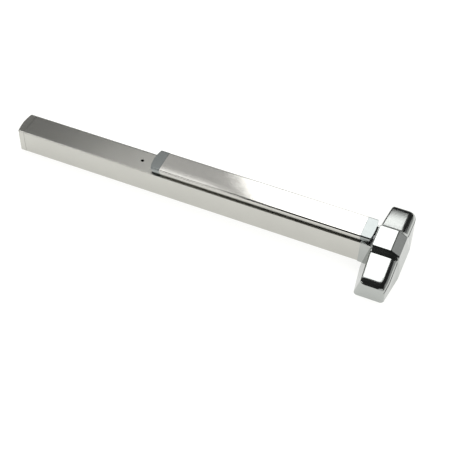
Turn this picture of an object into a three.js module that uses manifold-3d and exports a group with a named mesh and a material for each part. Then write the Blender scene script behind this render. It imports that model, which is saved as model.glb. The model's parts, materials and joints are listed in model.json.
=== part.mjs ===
// A touch-bar panic exit device for a single door, in millimetres.
// It lies on its back: +Z points away from the door face and +X runs along the device towards the head.
// Stations along X are counted from the head's centre; the finished device is then shifted so that
// its origin is the middle of its back.
import * as THREE from 'three';
import { mergeVertices } from 'three/addons/utils/BufferGeometryUtils.js';
import Module from 'manifold-3d';

const wasm = await Module();
wasm.setup();

// ---- Driving dimensions ----
const CASE_WIDTH = 57;
const CASE_DEPTH = 55;
const BAR_FRONT = 74;
const BAR_TRAVEL = 12;
const GAP = 0.3; // running or assembly gap between neighbouring pieces
const SHEET = 2.5; // thickness of the bent steel brackets
const SMALL_SCREW_RADIUS = 2;
const THROUGH = 20; // how far a cutter reaches past the piece that it goes through

// Stations along the device
const DEVICE_END_X = -826;
const END_CAP_JOINT_X = -809;
const BAR_LEFT_X = -511;
const BAR_RIGHT_X = -29;
const CASE_RIGHT_X = -40;
const DOGGING_X = -539;
const CRANK_STATIONS = { left: -400, right: -116 };
const ROD_GUIDE_X = -258;

// Mechanism case: an open channel with a stepped mouth that carries the cover plate
const CASE_FLOOR = 2.5;
const CASE_WALL = 3.5;
const MOUTH_WALL = 2.3;
const MOUTH_DEPTH = 3;
const LIP_WIDTH = 2.5;
const LIP_DROP = 0.4;
const CASE_EDGE_RADIUS = 0.9;
const PLATE_THICKNESS = 2.5;
const KEY_HOLE_RADIUS = 3.6;

// Push bar
const BAR_CAP_LENGTH = 23;
const SKIRT_HEIGHT = 5;
const SKIRT_RADIUS = 3.5;
const SKIN = 1;
const PAD_PLATE = 3;
const NECK_HALF_WIDTH = 24;
const NECK_WALL = 2.5;
const NECK_BOTTOM_Z = 47;
const LEFT_CAP_BOW = 5;
const RIGHT_CAP_BOW = 2.5;

// Base rail and bell cranks
const RAIL_BOTTOM_Z = CASE_FLOOR + GAP;
const RAIL_TOP_Z = 6;
const RAIL_HALF_WIDTH = 20;
const RAIL_LEFT_X = -472;
const RAIL_RIGHT_X = -84;
const RAIL_SCREWS_X = [-463, -93];
const CRANK_ARM = 24;
const CRANK_PIVOT_Z = 20;
const CRANK_HALF_SWING = Math.asin(BAR_TRAVEL / 2 / CRANK_ARM);
const PIVOT_RADIUS = 3;
const PIN_RADIUS = 2.5;
const ROD_HALF_THICKNESS = 2;
const ROD_HALF_HEIGHT = 7;
const ROD_LEFT_X = -408;
const ROD_RIGHT_X = -26;
const ROD_PIN_X = -33;

// Head
const HEAD_DEPTH = 60;
const HEAD_HALF_HEIGHT = 112;
const HEAD_BASE_HALF_WIDTH = 39.5;
const HEAD_BASE_END_HALF_WIDTH = 31;
const HEAD_FACE_LEFT_X = -26.5;
const HEAD_TIP_LEFT_X = -22.5;
const HEAD_FACE_RIGHT_X = 13.5;
const HEAD_LEFT_RADIUS = 3;
const SHOULDER_X = 31;
const SHOULDER_DROP = { block: 10, wing: 12 };
const BLOCK_HALF_HEIGHT = 27;
const WING_ROOT_Y = 41;
const WING_ROOT_Z = 50;
const WING_TIP_Z = 41;
const TIP_RADIUS = 8;
const TIP_START_Y = HEAD_HALF_HEIGHT - TIP_RADIUS;
const COVER_WALL = 3;
const END_DRAFT = 2;
const COLLAR_LEFT_X = -49;
const COLLAR_WALL = 1.3;
const COLLAR_RADIUS = 2.5;
const COLLAR_WINDOW_HALF_WIDTH = 25;
const CHASSIS_THICKNESS = 3;
const HUB_X = 14;
const HUB_ARM = 16;
const HUB_HALF_SWING = Math.asin(BAR_TRAVEL / 2 / HUB_ARM);
const SPINDLE_SQUARE = 8.2;
const SLIDE_BOTTOM_Z = 12;
const SLIDE_THICKNESS = 3;

// Facets on round pieces
const FINE = 24;
const COARSE = 16;

// ---- Materials ----
const finish = (color, roughness, metalness) =>
  new THREE.MeshStandardMaterial({ color, roughness, metalness });
const MATERIALS = {
  satinAluminium: () => finish('#b9b9b2', 0.42, 0.9),
  brushedStainless: () => finish('#c4c3bd', 0.34, 1),
  satinChrome: () => finish('#c9ccc8', 0.2, 1),
  capGrey: () => finish('#9aa0a0', 0.4, 0.7),
  zincSteel: () => finish('#a9adb3', 0.45, 0.85),
  darkSteel: () => finish('#4d4f53', 0.5, 0.8),
  springSteel: () => finish('#8c8f94', 0.35, 0.9),
  blackRubber: () => finish('#1d1d1e', 0.85, 0),
  whiteNylon: () => finish('#dcdad2', 0.55, 0),
};

// ---- Solid helpers ----
function toSolid(geometry) {
  const plain = geometry.clone();
  plain.deleteAttribute('normal');
  plain.deleteAttribute('uv');
  const merged = mergeVertices(plain, 1e-4);
  return new wasm.Manifold(new wasm.Mesh({
    numProp: 3,
    vertProperties: new Float32Array(merged.attributes.position.array),
    triVerts: new Uint32Array(merged.index.array),
  }));
}

function toGeometry(solid) {
  const mesh = solid.getMesh();
  const geometry = new THREE.BufferGeometry();
  geometry.setAttribute('position', new THREE.BufferAttribute(new Float32Array(mesh.vertProperties), 3));
  geometry.setIndex(new THREE.BufferAttribute(new Uint32Array(mesh.triVerts), 1));
  geometry.computeVertexNormals();
  return geometry;
}

function join(...geometries) {
  return toGeometry(geometries.map(toSolid).reduce((whole, piece) => whole.add(piece)));
}

function cut(geometry, ...tools) {
  return toGeometry(tools.map(toSolid).reduce((whole, tool) => whole.subtract(tool), toSolid(geometry)));
}

// A box between two corners
function block([x0, x1], [y0, y1], [z0, z1]) {
  const geometry = new THREE.BoxGeometry(x1 - x0, y1 - y0, z1 - z0);
  return geometry.translate((x0 + x1) / 2, (y0 + y1) / 2, (z0 + z1) / 2);
}

// A cylinder along one axis, from one end to the other, centred on the other two coordinates
function rod(axis, centre, from, to, radius, sides = COARSE) {
  const geometry = new THREE.CylinderGeometry(radius, radius, to - from, sides);
  const middle = (from + to) / 2;
  if (axis === 'x') return geometry.rotateZ(-Math.PI / 2).translate(middle, centre[0], centre[1]);
  if (axis === 'y') return geometry.translate(centre[0], middle, centre[1]);
  return geometry.rotateX(Math.PI / 2).translate(centre[0], centre[1], middle);
}

// An outline extruded along one axis: (y, z) points along x, (x, z) along y, (x, y) along z
function extrude(axis, points, from, to) {
  const shape = new THREE.Shape(points.map(([u, v]) => new THREE.Vector2(u, v)));
  const geometry = new THREE.ExtrudeGeometry(shape, { depth: to - from, bevelEnabled: false });
  const [ex, ey, ez] = [
    new THREE.Vector3(1, 0, 0),
    new THREE.Vector3(0, 1, 0),
    new THREE.Vector3(0, 0, 1),
  ];
  if (axis === 'x') {
    geometry.applyMatrix4(new THREE.Matrix4().makeBasis(ey, ez, ex));
    return geometry.translate(from, 0, 0);
  }
  if (axis === 'y') {
    geometry.applyMatrix4(new THREE.Matrix4().makeBasis(ex, ez, ey.clone().negate()));
    return geometry.translate(0, to, 0);
  }
  return geometry.translate(0, 0, from);
}

function arc(cx, cy, radius, startDeg, endDeg, steps) {
  return Array.from({ length: steps + 1 }, (_, i) => {
    const angle = THREE.MathUtils.degToRad(startDeg + ((endDeg - startDeg) * i) / steps);
    return [cx + radius * Math.cos(angle), cy + radius * Math.sin(angle)];
  });
}

// A round-ended bar outline from one centre to another
function capsule([x0, y0], [x1, y1], radius, steps = 6) {
  const turn = THREE.MathUtils.radToDeg(Math.atan2(y1 - y0, x1 - x0));
  return [
    ...arc(x1, y1, radius, turn - 90, turn + 90, steps),
    ...arc(x0, y0, radius, turn + 90, turn + 270, steps),
  ];
}

// A screw along +Z from its tip at z = 0, with a hexagon recess in its head
function screw(shankRadius, shankLength, headRadius, headHeight) {
  const profile = [
    [0, 0],
    [shankRadius, 0],
    [shankRadius, shankLength],
    [headRadius, shankLength],
    [headRadius, shankLength + headHeight * 0.6],
    [headRadius * 0.8, shankLength + headHeight],
    [0, shankLength + headHeight],
  ].map(([r, z]) => new THREE.Vector2(r, z));
  const body = new THREE.LatheGeometry(profile, COARSE).rotateX(Math.PI / 2);
  const top = shankLength + headHeight;
  const recess = rod('z', [0, 0], top - headHeight * 0.6, top + 1, headRadius * 0.42, 6);
  return cut(body, recess);
}

// A helical compression spring on the Z axis, from z = 0 to its height
class Helix extends THREE.Curve {
  constructor(radius, height, turns) {
    super();
    this.radius = radius;
    this.height = height;
    this.turns = turns;
  }

  getPoint(t, target = new THREE.Vector3()) {
    const angle = 2 * Math.PI * this.turns * t;
    return target.set(this.radius * Math.cos(angle), this.radius * Math.sin(angle), this.height * t);
  }
}

function coil(meanRadius, wireRadius, height, turns) {
  const path = new Helix(meanRadius, height - 2 * wireRadius, turns);
  const section = new THREE.Shape(arc(0, 0, wireRadius, 0, 300, 5).map(([u, v]) => new THREE.Vector2(u, v)));
  const geometry = new THREE.ExtrudeGeometry(section, {
    steps: turns * 10,
    extrudePath: path,
    bevelEnabled: false,
  });
  return geometry.translate(0, 0, wireRadius);
}

function piece(name, geometry, material, position = [0, 0, 0]) {
  const mesh = new THREE.Mesh(geometry, material());
  mesh.name = name;
  mesh.position.set(...position);
  return mesh;
}

function assembly(position, ...pieces) {
  const group = new THREE.Group();
  group.position.set(...position);
  group.add(...pieces);
  return group;
}

// ---- Mechanism case and its fittings ----
const HALF_CASE = CASE_WIDTH / 2;

// Outside of the case section, from the right foot round the front to the left foot.
// The front's two lips slope down a little to rounded edges.
function caseOutline() {
  const edge = HALF_CASE - CASE_EDGE_RADIUS;
  const front = CASE_DEPTH - LIP_DROP - CASE_EDGE_RADIUS;
  const lip = HALF_CASE - LIP_WIDTH;
  return [
    [HALF_CASE, 0],
    ...arc(edge, front, CASE_EDGE_RADIUS, 0, 80, 3),
    [lip, CASE_DEPTH],
    [-lip, CASE_DEPTH],
    ...arc(-edge, front, CASE_EDGE_RADIUS, 100, 180, 3),
    [-HALF_CASE, 0],
  ];
}

function mechanismCase() {
  const length = CASE_RIGHT_X - (END_CAP_JOINT_X + GAP);
  const bore = block(
    [-1, length + 1],
    [-(HALF_CASE - CASE_WALL), HALF_CASE - CASE_WALL],
    [CASE_FLOOR, CASE_DEPTH + 1],
  );
  const mouth = block(
    [-1, length + 1],
    [-(HALF_CASE - MOUTH_WALL), HALF_CASE - MOUTH_WALL],
    [CASE_DEPTH - MOUTH_DEPTH, CASE_DEPTH + 1],
  );
  const left = END_CAP_JOINT_X + GAP;
  const floorHoles = [...RAIL_SCREWS_X, ...DOGGING_FOOT_SCREWS_X, ...END_FOOT_SCREWS_X].map((x) =>
    rod('z', [x - left, 0], -1, CASE_FLOOR + 1, PIN_RADIUS + GAP),
  );
  const tongueHoles = [-1, 1].map((side) =>
    rod('z', [TONGUE_SCREW_X - left, side * TONGUE_SCREW_Y], -1, CASE_FLOOR + 1, PIN_RADIUS + GAP),
  );
  const channel = extrude('x', caseOutline(), 0, length);
  return piece(
    'mechanism_case',
    cut(channel, bore, mouth, ...floorHoles, ...tongueHoles),
    MATERIALS.satinAluminium,
    [left, 0, 0],
  );
}

const PLATE_END_CLEARANCE = 1.5;

function coverPlate() {
  const left = END_CAP_JOINT_X + 2 * GAP;
  const length = NECK_LEFT_X - PLATE_END_CLEARANCE - left;
  const halfWidth = HALF_CASE - MOUTH_WALL - GAP;
  const bottom = CASE_DEPTH - MOUTH_DEPTH + GAP;
  const plate = block([0, length], [-halfWidth, halfWidth], [0, PLATE_THICKNESS]);
  const keyHole = rod('z', [DOGGING_X - left, 0], -1, PLATE_THICKNESS + 1, KEY_HOLE_RADIUS, FINE);
  return piece('cover_plate', cut(plate, keyHole), MATERIALS.satinAluminium, [left, 0, bottom]);
}

const END_BOW = 4;
const END_WALL_INNER_X = -819;
const END_SCREWS_Z = [17, 40];
const END_SCREW_HEAD = 1.9;
const END_SCREW_HEAD_RADIUS = 4;

// The end cap: a short hood with a bowed end wall and two counterbored screw holes
function endCap() {
  const bowRadius = (HALF_CASE ** 2 + END_BOW ** 2) / (2 * END_BOW);
  const half = THREE.MathUtils.radToDeg(Math.asin(HALF_CASE / bowRadius));
  const bow = arc(DEVICE_END_X + bowRadius, 0, bowRadius, 180 - half, 180 + half, 10);
  const plan = [...bow, [END_CAP_JOINT_X, -HALF_CASE], [END_CAP_JOINT_X, HALF_CASE]];
  const hood = toSolid(extrude('z', plan, 0, CASE_DEPTH));
  const section = toSolid(extrude('x', caseOutline(), DEVICE_END_X - 1, END_CAP_JOINT_X + 1));
  const hollow = block(
    [END_WALL_INNER_X, END_CAP_JOINT_X + 1],
    [-(HALF_CASE - CASE_WALL), HALF_CASE - CASE_WALL],
    [CASE_FLOOR, CASE_DEPTH - CASE_FLOOR],
  );
  const seats = END_SCREWS_Z.flatMap((z) => [
    rod('x', [0, z], DEVICE_END_X - 1, DEVICE_END_X + END_SCREW_HEAD + 2 * GAP, END_SCREW_HEAD_RADIUS + GAP),
    rod('x', [0, z], DEVICE_END_X, END_WALL_INNER_X + 1, SMALL_SCREW_RADIUS + GAP),
  ]);
  const shell = cut(toGeometry(hood.intersect(section)), hollow, ...seats);
  return piece('end_cap', shell, MATERIALS.satinAluminium);
}

const END_FOOT_SCREWS_X = [-786];
const DOGGING_FOOT_SCREWS_X = [-562];
const FOOT_TOP_Z = RAIL_BOTTOM_Z + SHEET;
const FOOT_HALF_WIDTH = 18;
const END_FOOT_RIGHT_X = -768;
const END_BRACKET_TOP_Z = 48;

// A hole for a floor screw through a foot or the rail
function floorScrewHole(x, y = 0) {
  return rod('z', [x, y], 0, RAIL_TOP_Z + 1, PIN_RADIUS + GAP);
}

function endCapBracket() {
  const face = END_WALL_INNER_X + GAP;
  const width = [-FOOT_HALF_WIDTH, FOOT_HALF_WIDTH];
  const foot = block([face, END_FOOT_RIGHT_X], width, [RAIL_BOTTOM_Z, FOOT_TOP_Z]);
  const upright = block([face, face + SHEET], width, [RAIL_BOTTOM_Z, END_BRACKET_TOP_Z]);
  const footHoles = END_FOOT_SCREWS_X.map((x) => floorScrewHole(x));
  const capHoles = END_SCREWS_Z.map((z) =>
    rod('x', [0, z], face - 1, face + SHEET + 1, SMALL_SCREW_RADIUS + GAP),
  );
  return piece('end_cap_bracket', cut(join(foot, upright), ...footHoles, ...capHoles), MATERIALS.zincSteel);
}

function endCapScrews() {
  const shank = 8;
  return END_SCREWS_Z.map((z, i) => {
    const shape = screw(SMALL_SCREW_RADIUS, shank, END_SCREW_HEAD_RADIUS, END_SCREW_HEAD);
    const mesh = piece(`end_cap_screw_${i + 1}`, shape, MATERIALS.zincSteel);
    mesh.rotation.y = -Math.PI / 2;
    mesh.position.set(DEVICE_END_X + GAP + END_SCREW_HEAD + shank, 0, z);
    return mesh;
  });
}

const FLOOR_SCREW_HEAD = { radius: 4.5, height: 2.2 };

// A flat-head screw that clamps a foot or the rail to the case floor
function floorScrew(name, x, y, clampedTop) {
  const shape = screw(PIN_RADIUS, clampedTop - GAP, FLOOR_SCREW_HEAD.radius, FLOOR_SCREW_HEAD.height);
  return piece(name, shape, MATERIALS.zincSteel, [x, y, 2 * GAP]);
}

function baseRail() {
  const length = RAIL_RIGHT_X - RAIL_LEFT_X;
  const strip = block([0, length], [-RAIL_HALF_WIDTH, RAIL_HALF_WIDTH], [RAIL_BOTTOM_Z, RAIL_TOP_Z]);
  const holes = RAIL_SCREWS_X.map((x) => floorScrewHole(x - RAIL_LEFT_X));
  return piece('base_rail', cut(strip, ...holes), MATERIALS.zincSteel, [RAIL_LEFT_X, 0, 0]);
}

// ---- Bell crank stations: a clevis, its crank and pins, a return spring and a stop ----
const BAR_PIN = [-CRANK_ARM * Math.cos(CRANK_HALF_SWING), CRANK_ARM * Math.sin(CRANK_HALF_SWING)];
const ROD_PIN = [CRANK_ARM * Math.sin(CRANK_HALF_SWING), CRANK_ARM * Math.cos(CRANK_HALF_SWING)];
const ARC_RISE = CRANK_ARM * (1 - Math.cos(CRANK_HALF_SWING));
const ROD_CENTRE_Z = CRANK_PIVOT_Z + ROD_PIN[1] + ARC_RISE / 2;
const CLEVIS_INNER = 14.5;
const CLEVIS_OUTER = CLEVIS_INNER + SHEET;
const CLEVIS_FOOT_HALF_LENGTH = 14;
const CLEVIS_EAR_HALF_LENGTH = 9;
const CLEVIS_EAR_RADIUS = 7;
const CRANK_HUB = { radius: 6.5, halfLength: 11 };
const CRANK_ARM_RADIUS = 5;
const CHEEK = [6, 9];
const SIDE_PLATE = [11.3, 11.3 + SHEET];
const SIDE_PLATE_RADIUS = 6.3;
const SIDE_PLATE_HALF_LENGTH = 8;
const PAD_FLANGE_X = [-62, -12];
const PAD_FLANGE_HALF_WIDTH = 20;
const FLANGE_TOP_Z = BAR_FRONT - SKIN - GAP - PAD_PLATE - GAP;
const FLANGE_THICKNESS = SHEET;
const PAD_BRACKET_SCREW_X = -38;
const SPRING_X = -50;
const SPRING_Y = 13.5;
const SPRING_RADIUS = 4.8;
const WIRE_RADIUS = 0.7;
const SPRING_TURNS = 9;

function crankClevis(name) {
  const base = RAIL_TOP_Z + GAP;
  const length = [-CLEVIS_FOOT_HALF_LENGTH, CLEVIS_FOOT_HALF_LENGTH];
  const foot = block(length, [-CLEVIS_OUTER, CLEVIS_OUTER], [base, base + SHEET]);
  const ear = [
    [-CLEVIS_EAR_HALF_LENGTH, base + 1],
    [CLEVIS_EAR_HALF_LENGTH, base + 1],
    ...arc(0, CRANK_PIVOT_Z, CLEVIS_EAR_RADIUS, 0, 180, 8),
  ];
  const ears = [
    extrude('y', ear, CLEVIS_INNER, CLEVIS_OUTER),
    extrude('y', ear, -CLEVIS_OUTER, -CLEVIS_INNER),
  ];
  const bore = rod('y', [0, CRANK_PIVOT_Z], -THROUGH, THROUGH, PIVOT_RADIUS + GAP);
  return piece(name, cut(join(foot, ...ears), bore), MATERIALS.zincSteel);
}

const PIN_HEAD = 1.5;

// A headed pin along Y, centred on its own origin
function headedPin(name, radius, halfLength, position) {
  const profile = [
    [0, -halfLength],
    [radius, -halfLength],
    [radius, halfLength],
    [radius + PIN_HEAD, halfLength],
    [radius + PIN_HEAD, halfLength + PIN_HEAD],
    [0, halfLength + PIN_HEAD],
  ].map(([r, y]) => new THREE.Vector2(r, y));
  return piece(name, new THREE.LatheGeometry(profile, COARSE), MATERIALS.darkSteel, position);
}

function bellCrank(name) {
  const hub = rod('y', [0, 0], -CRANK_HUB.halfLength, CRANK_HUB.halfLength, CRANK_HUB.radius);
  const arms = [BAR_PIN, ROD_PIN].flatMap((tip) => {
    const outline = capsule([0, 0], tip, CRANK_ARM_RADIUS);
    return [extrude('y', outline, CHEEK[0], CHEEK[1]), extrude('y', outline, -CHEEK[1], -CHEEK[0])];
  });
  const bores = [
    rod('y', [0, 0], -THROUGH, THROUGH, PIVOT_RADIUS + GAP),
    ...[BAR_PIN, ROD_PIN].map((tip) => rod('y', tip, -THROUGH, THROUGH, PIN_RADIUS + GAP)),
  ];
  return piece(name, cut(join(hub, ...arms), ...bores), MATERIALS.zincSteel, [0, 0, CRANK_PIVOT_Z]);
}

// The bracket under the push bar: a flange with two side plates slotted for the crank's bar pin
function padBracket(name) {
  const flangeZ = [FLANGE_TOP_Z - FLANGE_THICKNESS, FLANGE_TOP_Z];
  const flange = block(PAD_FLANGE_X, [-PAD_FLANGE_HALF_WIDTH, PAD_FLANGE_HALF_WIDTH], flangeZ);
  const pinZ = CRANK_PIVOT_Z + BAR_PIN[1];
  const slotX = BAR_PIN[0] - ARC_RISE / 2;
  const plate = [
    [slotX - SIDE_PLATE_HALF_LENGTH, FLANGE_TOP_Z - 1],
    ...arc(slotX, pinZ, SIDE_PLATE_RADIUS, 180, 360, 8),
    [slotX + SIDE_PLATE_HALF_LENGTH, FLANGE_TOP_Z - 1],
  ];
  const sides = [
    extrude('y', plate, SIDE_PLATE[0], SIDE_PLATE[1]),
    extrude('y', plate, -SIDE_PLATE[1], -SIDE_PLATE[0]),
  ];
  const slot = extrude(
    'y',
    capsule([slotX - ARC_RISE / 2, pinZ], [slotX + ARC_RISE / 2, pinZ], PIN_RADIUS + GAP),
    -THROUGH,
    THROUGH,
  );
  const screwHole = padScrewHole(PAD_BRACKET_SCREW_X, FLANGE_TOP_Z);
  return piece(name, cut(join(flange, ...sides), slot, screwHole), MATERIALS.zincSteel);
}

// A hole for a pad screw through a flange whose upper face is given
function padScrewHole(x, flangeTop) {
  return rod('z', [x, 0], flangeTop - FLANGE_THICKNESS - 1, flangeTop + 1, SMALL_SCREW_RADIUS + GAP);
}

const PAD_SCREW_HEAD = { radius: 3.6, height: 2 };

// A screw driven upwards through a flange into the push bar's extrusion
function padScrew(name, x, flangeBottom) {
  const shank = FLANGE_TOP_Z + GAP + PAD_PLATE - GAP - flangeBottom;
  const shape = screw(SMALL_SCREW_RADIUS, shank, PAD_SCREW_HEAD.radius, PAD_SCREW_HEAD.height);
  const mesh = piece(name, shape, MATERIALS.zincSteel);
  mesh.rotation.x = Math.PI;
  mesh.position.set(x, 0, flangeBottom - GAP + shank);
  return mesh;
}

function returnSpring(name) {
  const height = FLANGE_TOP_Z - FLANGE_THICKNESS - RAIL_TOP_Z - 2 * GAP;
  return piece(
    name,
    coil(SPRING_RADIUS, WIRE_RADIUS, height, SPRING_TURNS),
    MATERIALS.springSteel,
    [SPRING_X, SPRING_Y, RAIL_TOP_Z + GAP],
  );
}

// The post that guides a return spring, and the rubber stop above it
const POST_RADIUS = 3;
const POST_FOOT_RADIUS = 3.6;
const POST_FOOT_HEIGHT = 2;
const STOP_HEIGHT = 8;
const STOP_TOP_Z = FLANGE_TOP_Z - FLANGE_THICKNESS - BAR_TRAVEL - GAP;

function springPost(name) {
  const foot = RAIL_TOP_Z + GAP;
  const height = STOP_TOP_Z - STOP_HEIGHT - GAP - foot;
  const profile = [
    [0, 0],
    [POST_FOOT_RADIUS, 0],
    [POST_FOOT_RADIUS, POST_FOOT_HEIGHT],
    [POST_RADIUS, POST_FOOT_HEIGHT],
    [POST_RADIUS, height],
    [0, height],
  ].map(([r, z]) => new THREE.Vector2(r, z));
  const geometry = new THREE.LatheGeometry(profile, COARSE).rotateX(Math.PI / 2);
  return piece(name, geometry, MATERIALS.darkSteel, [SPRING_X, SPRING_Y, foot]);
}

function stopBumper(name) {
  const profile = [
    [0, 0],
    [POST_RADIUS, 0],
    [POST_RADIUS, STOP_HEIGHT - 1],
    [POST_RADIUS - 1, STOP_HEIGHT],
    [0, STOP_HEIGHT],
  ].map(([r, z]) => new THREE.Vector2(r, z));
  const geometry = new THREE.LatheGeometry(profile, COARSE).rotateX(Math.PI / 2);
  return piece(name, geometry, MATERIALS.blackRubber, [SPRING_X, SPRING_Y, STOP_TOP_Z - STOP_HEIGHT]);
}

const GLIDE_X = [22, 58];
const GLIDE_FOOT_HEIGHT = 4;
const GLIDE_HEIGHT = 11;
const GLIDE_INNER_Y = NECK_HALF_WIDTH - 4.8;
const GLIDE_OUTER_Y = NECK_HALF_WIDTH + 0.6;

// A nylon glide on the lower edge of one neck wall
function padGlide(name, side) {
  const foot = block(GLIDE_X, [GLIDE_INNER_Y, GLIDE_OUTER_Y], [0, GLIDE_FOOT_HEIGHT]);
  const leg = block(GLIDE_X, [GLIDE_INNER_Y, NECK_HALF_WIDTH - NECK_WALL - GAP], [0, GLIDE_HEIGHT]);
  const mesh = piece(name, join(foot, leg), MATERIALS.whiteNylon);
  mesh.position.z = NECK_BOTTOM_Z - GAP - GLIDE_FOOT_HEIGHT;
  if (side < 0) {
    mesh.rotation.z = Math.PI;
    mesh.position.x = GLIDE_X[0] + GLIDE_X[1];
  }
  return mesh;
}

function crankStation(side, x) {
  const pivot = [0, 0, CRANK_PIVOT_Z];
  const barPin = [BAR_PIN[0], 0, CRANK_PIVOT_Z + BAR_PIN[1]];
  const rodPin = [ROD_PIN[0], 0, CRANK_PIVOT_Z + ROD_PIN[1]];
  const flangeBottom = FLANGE_TOP_Z - FLANGE_THICKNESS;
  return assembly(
    [x, 0, 0],
    crankClevis(`crank_clevis_${side}`),
    headedPin(`crank_pivot_pin_${side}`, PIVOT_RADIUS, CLEVIS_OUTER + GAP, pivot),
    bellCrank(`bell_crank_${side}`),
    headedPin(`bar_pin_${side}`, PIN_RADIUS, SIDE_PLATE[1] + GAP, barPin),
    headedPin(`rod_pin_${side}`, PIN_RADIUS, CHEEK[1] + GAP, rodPin),
    padBracket(`pad_bracket_${side}`),
    padScrew(`pad_bracket_screw_${side}`, PAD_BRACKET_SCREW_X, flangeBottom),
    returnSpring(`return_spring_${side}`),
    springPost(`spring_post_${side}`),
    stopBumper(`stop_bumper_${side}`),
    padGlide(`pad_glide_${side}_upper`, 1),
    padGlide(`pad_glide_${side}_lower`, -1),
  );
}

// ---- Pull rod and its guides ----
function pullRod() {
  const z = [ROD_CENTRE_Z - ROD_HALF_HEIGHT, ROD_CENTRE_Z + ROD_HALF_HEIGHT];
  const strip = block([ROD_LEFT_X, ROD_RIGHT_X], [-ROD_HALF_THICKNESS, ROD_HALF_THICKNESS], z);
  const slots = Object.values(CRANK_STATIONS).map((x) => {
    const pinX = x + ROD_PIN[0];
    const ends = [ROD_CENTRE_Z - ARC_RISE / 2, ROD_CENTRE_Z + ARC_RISE / 2];
    return extrude('y', capsule([pinX, ends[0]], [pinX, ends[1]], PIN_RADIUS + GAP), -THROUGH, THROUGH);
  });
  const linkHole = rod('y', [ROD_PIN_X, ROD_CENTRE_Z], -THROUGH, THROUGH, PIN_RADIUS + GAP);
  return piece('pull_rod', cut(strip, ...slots, linkHole), MATERIALS.zincSteel);
}

const ROD_GUIDE = { footHalfLength: 9, halfWidth: 12, wallHalf: 1.5, topZ: 53 };

function rodGuide() {
  const base = RAIL_TOP_Z + GAP;
  const width = [-ROD_GUIDE.halfWidth, ROD_GUIDE.halfWidth];
  const foot = block([-ROD_GUIDE.footHalfLength, ROD_GUIDE.footHalfLength], width, [base, base + SHEET]);
  const wall = block([-ROD_GUIDE.wallHalf, ROD_GUIDE.wallHalf], width, [base, ROD_GUIDE.topZ]);
  const window = block(
    [-ROD_GUIDE.wallHalf - 1, ROD_GUIDE.wallHalf + 1],
    [-ROD_HALF_THICKNESS - GAP, ROD_HALF_THICKNESS + GAP],
    [ROD_CENTRE_Z - ROD_HALF_HEIGHT - GAP, ROD_CENTRE_Z + ROD_HALF_HEIGHT + GAP],
  );
  return piece('rod_guide', cut(join(foot, wall), window), MATERIALS.whiteNylon, [ROD_GUIDE_X, 0, 0]);
}

// ---- Push bar ----
const HALF_BAR = CASE_WIDTH / 2;

// The bar's front, from one skirt foot over to the other, drawn inset from the outside
function barFront(inset) {
  const radius = SKIRT_RADIUS - inset / 2;
  const edge = HALF_BAR - inset - radius;
  const shoulder = BAR_FRONT - inset - radius;
  return [
    ...arc(edge, shoulder, radius, 0, 90, 4),
    ...arc(-edge, shoulder, radius, 90, 180, 4),
  ];
}

const SKIRT_BOTTOM_Z = BAR_FRONT - SKIRT_HEIGHT;

function padSkin() {
  const outer = barFront(0);
  const inner = barFront(SKIN).reverse();
  const section = [
    [HALF_BAR, SKIRT_BOTTOM_Z],
    ...outer,
    [-HALF_BAR, SKIRT_BOTTOM_Z],
    [-(HALF_BAR - SKIN), SKIRT_BOTTOM_Z],
    ...inner,
    [HALF_BAR - SKIN, SKIRT_BOTTOM_Z],
  ];
  const left = BAR_LEFT_X + BAR_CAP_LENGTH + GAP;
  const length = BAR_RIGHT_X - BAR_CAP_LENGTH - GAP - left;
  return piece('touch_pad_skin', extrude('x', section, 0, length), MATERIALS.brushedStainless, [left, 0, 0]);
}

const NECK_LEFT_X = BAR_LEFT_X + LEFT_CAP_BOW + 1;
const NECK_RIGHT_X = BAR_RIGHT_X - BAR_CAP_LENGTH;
const NECK_END_X = -35;

function padExtrusion() {
  const inset = SKIN + GAP;
  const plateBottom = BAR_FRONT - inset - PAD_PLATE;
  const neckInner = NECK_HALF_WIDTH - NECK_WALL;
  const section = [
    [HALF_BAR - inset, SKIRT_BOTTOM_Z],
    ...barFront(inset),
    [-(HALF_BAR - inset), SKIRT_BOTTOM_Z],
    [-NECK_HALF_WIDTH, SKIRT_BOTTOM_Z],
    [-NECK_HALF_WIDTH, NECK_BOTTOM_Z],
    [-neckInner, NECK_BOTTOM_Z],
    [-neckInner, plateBottom],
    [neckInner, plateBottom],
    [neckInner, NECK_BOTTOM_Z],
    [NECK_HALF_WIDTH, NECK_BOTTOM_Z],
    [NECK_HALF_WIDTH, SKIRT_BOTTOM_Z],
  ];
  const left = BAR_LEFT_X + BAR_CAP_LENGTH + GAP;
  const length = NECK_RIGHT_X - GAP - left;
  const stationHoles = Object.values(CRANK_STATIONS).map((x) => x + PAD_BRACKET_SCREW_X);
  const holes = [...stationHoles, ...Object.values(PAD_CAP_SCREWS)].map((x) =>
    rod('z', [x - left, 0], plateBottom - 1, BAR_FRONT - inset + 1, SMALL_SCREW_RADIUS + GAP),
  );
  return piece(
    'pad_extrusion',
    cut(extrude('x', section, 0, length), ...holes),
    MATERIALS.satinAluminium,
    [left, 0, 0],
  );
}

const CAP_TONGUE_LENGTH = 16;
const CAP_TONGUE_HALF_WIDTH = 20;
const CAP_SCREW_OFFSET = 9;
const NECK_END_WALL = 2;
const ROD_NOTCH_HALF_WIDTH = 8;
const PAD_CAP_SCREWS = {
  left: BAR_LEFT_X + BAR_CAP_LENGTH + CAP_SCREW_OFFSET,
  right: BAR_RIGHT_X - BAR_CAP_LENGTH - CAP_SCREW_OFFSET,
};

function bowedEnd(endX, direction, bow) {
  const radius = (HALF_BAR ** 2 + bow ** 2) / (2 * bow);
  const half = THREE.MathUtils.radToDeg(Math.asin(HALF_BAR / radius));
  const facing = direction > 0 ? 0 : 180;
  return arc(endX - direction * radius, 0, radius, facing - half, facing + half, 10);
}

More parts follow.
